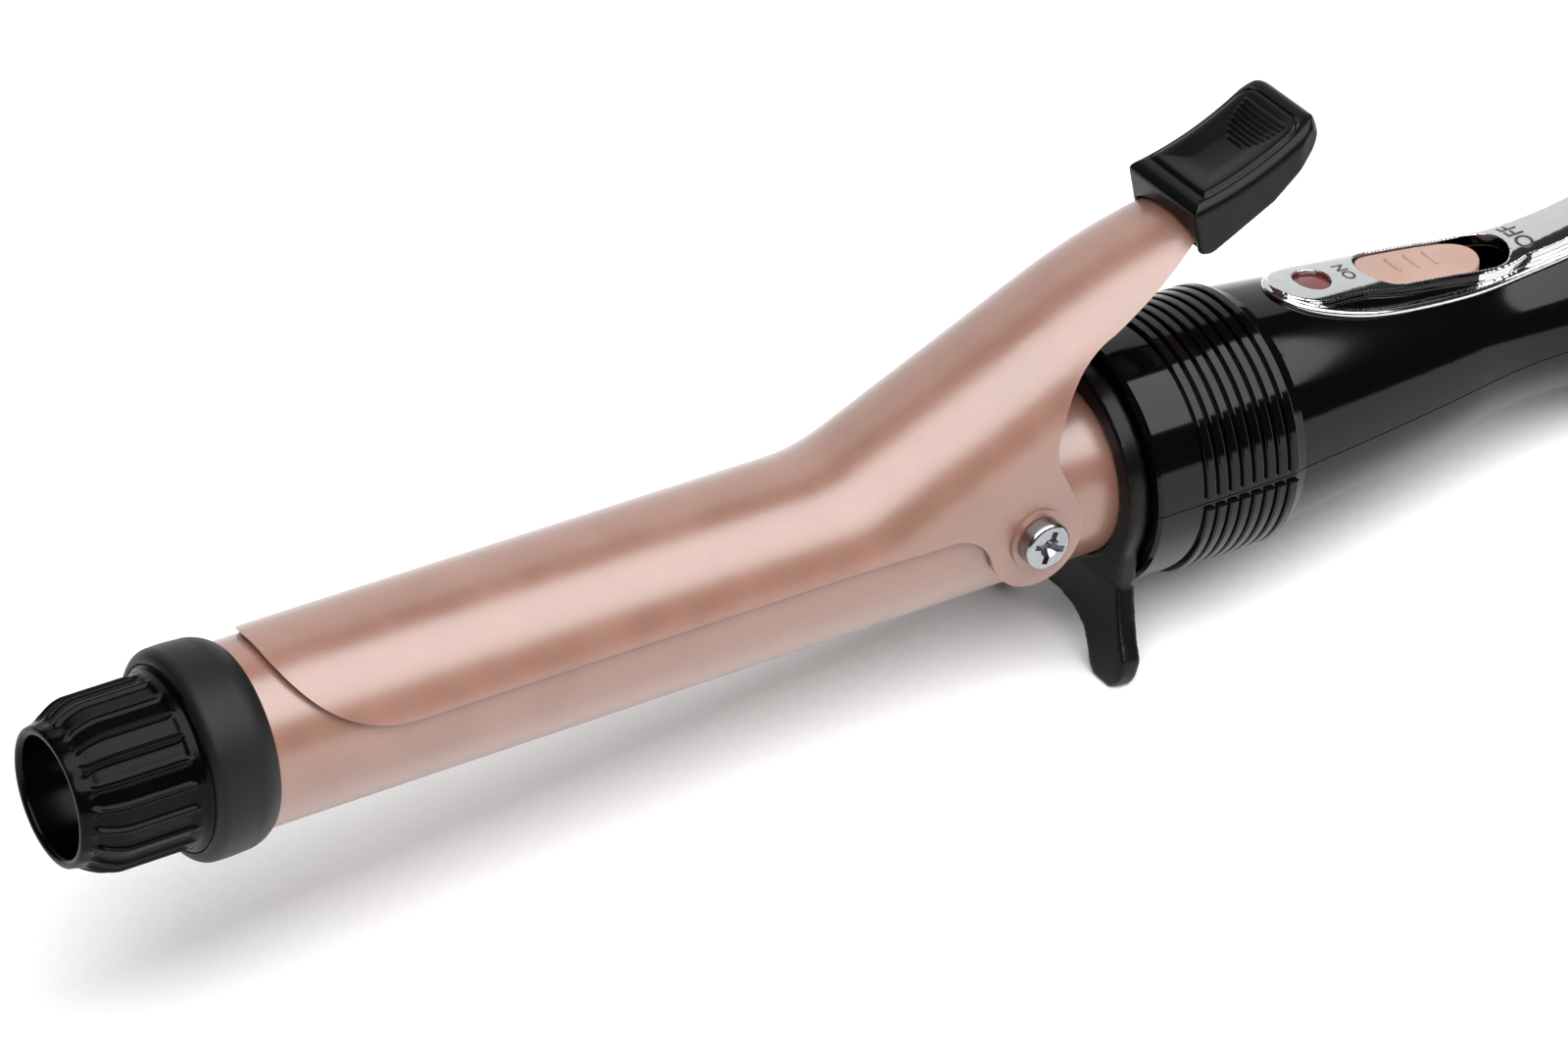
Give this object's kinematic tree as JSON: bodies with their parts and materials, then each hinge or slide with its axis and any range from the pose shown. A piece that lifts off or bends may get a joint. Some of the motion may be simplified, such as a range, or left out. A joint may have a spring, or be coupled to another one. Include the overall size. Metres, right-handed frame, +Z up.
{
  "type": "curling iron",
  "caption": "Handheld hair curling iron: heated barrel, sprung clip with thumb lever, splayed rest stand, two-part handle with slide switch, and cord inlet in the tail.",
  "frame": {"origin": "middle of the bounding box's underside, on the surface that the iron rests on", "axes": "+X from the cool tip to the cord inlet, +Z up, the clip's pivot axis along Y"},
  "size_m": [0.3536, 0.0486, 0.089],
  "materials": {
    "rose_coating": "satin rose-gold ceramic coating",
    "gloss_black": "polished black moulding",
    "grey_ring": "fine matte dark grey",
    "satin_black": "satin black moulding",
    "chrome_trim": "bright plated plastic",
    "rose_knob": "matte rose moulding",
    "red_lens": "dark red clear plastic",
    "zinc_steel": "bright zinc plated steel",
    "spring_steel": "drawn spring wire",
    "sink_aluminium": "extruded",
    "heater_ceramic": "sintered white ceramic",
    "amber_film": "amber insulating film",
    "contact_brass": "pressed",
    "board_laminate": "pressed paper laminate",
    "wire_sleeve": "white sleeve"
  },
  "bodies": {
    "iron": {"barrel_tube": "rose_coating", "cool_tip": "gloss_black", "tip_ring": "grey_ring", "tip_anchor": "zinc_steel", "tip_screw": "zinc_steel", "heater_sink_upper": "sink_aluminium", "heater_sink_lower": "sink_aluminium", "heating_element": "heater_ceramic", "insulating_film": "amber_film", "thermal_fuse": "zinc_steel", "heat_sensor": "heater_ceramic", "heater_leads": "wire_sleeve", "pivot_screws": "zinc_steel", "pivot_bushes": "contact_brass", "pivot_nuts": "zinc_steel", "clip_spring": "spring_steel", "stand": "satin_black", "handle_upper": "gloss_black", "handle_lower": "gloss_black", "barrel_holder": "satin_black", "handle_screws": "zinc_steel", "terminal_board": "board_laminate", "switch_body": "satin_black", "indicator_lamp": "red_lens", "cord_wires": "wire_sleeve", "switch_trim": "chrome_trim", "indicator_lens": "red_lens", "brush_contacts": "contact_brass"},
    "clip": {"clip": "rose_coating", "thumb_rest": "satin_black", "thumb_pad": "satin_black"},
    "switch_knob": {"slide_knob": "rose_knob"},
    "cord_swivel": {"cord_gland": "satin_black", "slip_rings": "contact_brass"}
  },
  "joints": [
    {"name": "clip_hinge", "type": "hinge", "parent": "iron", "child": "clip", "pos_m": [0.00399, 0, 0.03403], "axis": [0, 1, 0], "range_deg": [0, 18], "stiffness_Nm_per_rad": 0.5, "springref_deg": -28.65},
    {"name": "switch_slide", "type": "slide", "parent": "iron", "child": "switch_knob", "axis": [0.9952, 0, -0.0976], "range_m": [0, 0.0063]},
    {"name": "cord_spin", "type": "hinge", "parent": "iron", "child": "cord_swivel", "pos_m": [0.16024, 0, 0.01871], "axis": [0.9952, 0, -0.0976], "continuous": true}
  ]
}
